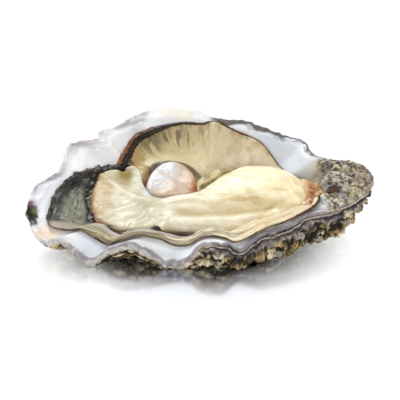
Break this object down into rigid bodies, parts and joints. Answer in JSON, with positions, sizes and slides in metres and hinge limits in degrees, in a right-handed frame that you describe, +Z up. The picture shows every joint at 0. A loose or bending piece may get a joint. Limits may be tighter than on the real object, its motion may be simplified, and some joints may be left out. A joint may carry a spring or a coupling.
{
  "type": "opened oyster on its cupped half shell",
  "caption": "Opened oyster lying in its cupped half shell, with its body, gills, mantle, muscle and hinge in place.",
  "frame": {"origin": "middle of the object's box, at the surface that it lies on", "axes": "+X from the bill to the hinge along the shell's length, +Y from the deep front edge to the raised back edge, +Z up"},
  "size_m": [0.108, 0.0554, 0.0257],
  "materials": {
    "shell": "pearly white inside with grey and mauve lip, rough brown and grey crust outside",
    "mantle": "wet, olive to cream, with a dark frilled edge",
    "body": "wet, plump, cream to pale yellow",
    "gill": "wet, cream, finely striated",
    "muscle": "wet, pearly, pink and tan",
    "palp": "wet, translucent orange brown",
    "ligament": "dark brown, fibrous",
    "barnacle": "dull, grey and ochre, ribbed"
  },
  "bodies": {
    "root": {"cupped_shell": "shell", "mantle": "mantle", "visceral_mass": "body", "gills": "gill", "adductor_muscle": "muscle", "labial_palps": "palp", "hinge_ligament": "ligament", "barnacle_1": "barnacle", "barnacle_2": "barnacle", "barnacle_3": "barnacle", "barnacle_4": "barnacle", "barnacle_5": "barnacle", "barnacle_6": "barnacle"}
  },
  "joints": []
}
